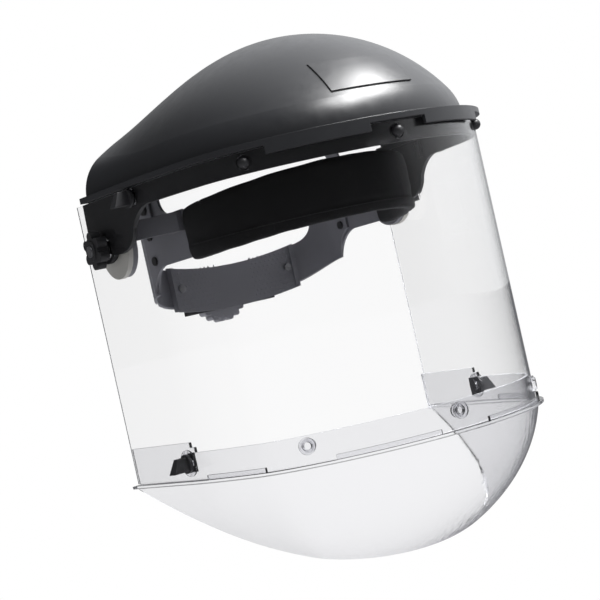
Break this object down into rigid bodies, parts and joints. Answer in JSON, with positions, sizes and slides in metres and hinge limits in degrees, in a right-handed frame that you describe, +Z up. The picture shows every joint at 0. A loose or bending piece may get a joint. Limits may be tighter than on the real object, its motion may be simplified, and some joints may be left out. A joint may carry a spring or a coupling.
{
  "type": "face shield",
  "caption": "Face shield with a domed crown, wrap-round clear window, clear chin guard and tilting ratchet headgear.",
  "frame": {"origin": "the middle of the wearer's head as held by the headband, level with the two side pivots, whose axis is 39 mm behind it", "axes": "+Z up along the wearer's head, the shield faces -Y, +X towards the wearer's left"},
  "size_m": [0.278, 0.2914, 0.3581],
  "materials": {
    "crown_grey": "satin moulded plastic",
    "black_plastic": "matte moulded plastic",
    "clear_window": "clear polycarbonate, polished",
    "clear_guard": "clear polycarbonate, moulded",
    "clear_rivet": "clear moulded plastic",
    "latch_black": "satin nylon",
    "knob_black": "satin nylon",
    "bolt_steel": "zinc plated",
    "headgear_grey": "satin polyethylene",
    "sweat_fabric": "black brushed cotton over foam",
    "nylon_natural": "natural nylon",
    "spring_steel": "spring steel"
  },
  "bodies": {
    "headgear": {"front_headband": "headgear_grey", "sweatband": "sweat_fabric", "side_bracket_left": "headgear_grey", "side_bracket_right": "headgear_grey", "bracket_screws": "bolt_steel", "friction_washer_left": "nylon_natural", "friction_washer_right": "nylon_natural", "pivot_bolt_left": "bolt_steel", "pivot_bolt_right": "bolt_steel", "rear_strap_left": "headgear_grey", "rear_strap_right": "headgear_grey", "strap_pins": "black_plastic", "crown_strap_left": "headgear_grey", "crown_strap_right": "headgear_grey", "crown_strap_peg": "black_plastic", "strap_buttons": "black_plastic"},
    "visor": {"crown_shell": "crown_grey", "window_band": "black_plastic", "front_studs": "black_plastic", "face_window": "clear_window", "chin_guard": "clear_guard", "chin_rivets": "clear_rivet", "latch_washers": "clear_rivet"},
    "crown_latch_left": {"crown_latch_left": "latch_black"},
    "crown_latch_right": {"crown_latch_right": "latch_black"},
    "chin_latch_left": {"chin_latch_left": "latch_black"},
    "chin_latch_right": {"chin_latch_right": "latch_black"},
    "knob_left": {"tension_knob_left": "knob_black"},
    "knob_right": {"tension_knob_right": "knob_black"},
    "cradle": {"rear_cradle": "headgear_grey", "ratchet_cover": "knob_black", "cradle_screws": "bolt_steel", "detent_spring": "spring_steel"},
    "rear_knob": {"ratchet_knob": "knob_black", "ratchet_pinion": "nylon_natural"}
  },
  "joints": [
    {"name": "visor_tilt", "type": "hinge", "parent": "headgear", "child": "visor", "pos_m": [0, 0.039, 0], "axis": [-1, 0, 0], "range_deg": [0, 80]},
    {"name": "crown_latch_left_turn", "type": "hinge", "parent": "visor", "child": "crown_latch_left", "pos_m": [0.1234, -0.00993, 0.027], "axis": [0.9962, -0.0872, 0], "range_deg": [0, 90]},
    {"name": "crown_latch_right_turn", "type": "hinge", "parent": "visor", "child": "crown_latch_right", "pos_m": [-0.1234, -0.00993, 0.027], "axis": [-0.9962, -0.0872, 0], "range_deg": [0, 90]},
    {"name": "chin_latch_left_turn", "type": "hinge", "parent": "visor", "child": "chin_latch_left", "pos_m": [0.1234, -0.00993, -0.1535], "axis": [0.9962, -0.0872, 0], "range_deg": [0, 90]},
    {"name": "chin_latch_right_turn", "type": "hinge", "parent": "visor", "child": "chin_latch_right", "pos_m": [-0.1234, -0.00993, -0.1535], "axis": [-0.9962, -0.0872, 0], "range_deg": [0, 90]},
    {"name": "knob_left_turn", "type": "hinge", "parent": "headgear", "child": "knob_left", "pos_m": [0.134, 0.039, 0], "axis": [1, 0, 0], "range_deg": [-180, 180]},
    {"name": "knob_right_turn", "type": "hinge", "parent": "headgear", "child": "knob_right", "pos_m": [-0.134, 0.039, 0], "axis": [-1, 0, 0], "range_deg": [-180, 180]},
    {"name": "cradle_slide", "type": "slide", "parent": "headgear", "child": "cradle", "axis": [0, -1, 0], "range_m": [0, 0.018], "deforming": ["rear_strap_left", "rear_strap_right"]},
    {"name": "ratchet_turn", "type": "hinge", "parent": "cradle", "child": "rear_knob", "pos_m": [0, 0.1084, -0.045], "axis": [0, 1, 0], "range_deg": [0, 240]}
  ],
  "couplings": [
    {"joint": "ratchet_turn", "follows": "cradle_slide", "rad_per_m": 231}
  ]
}
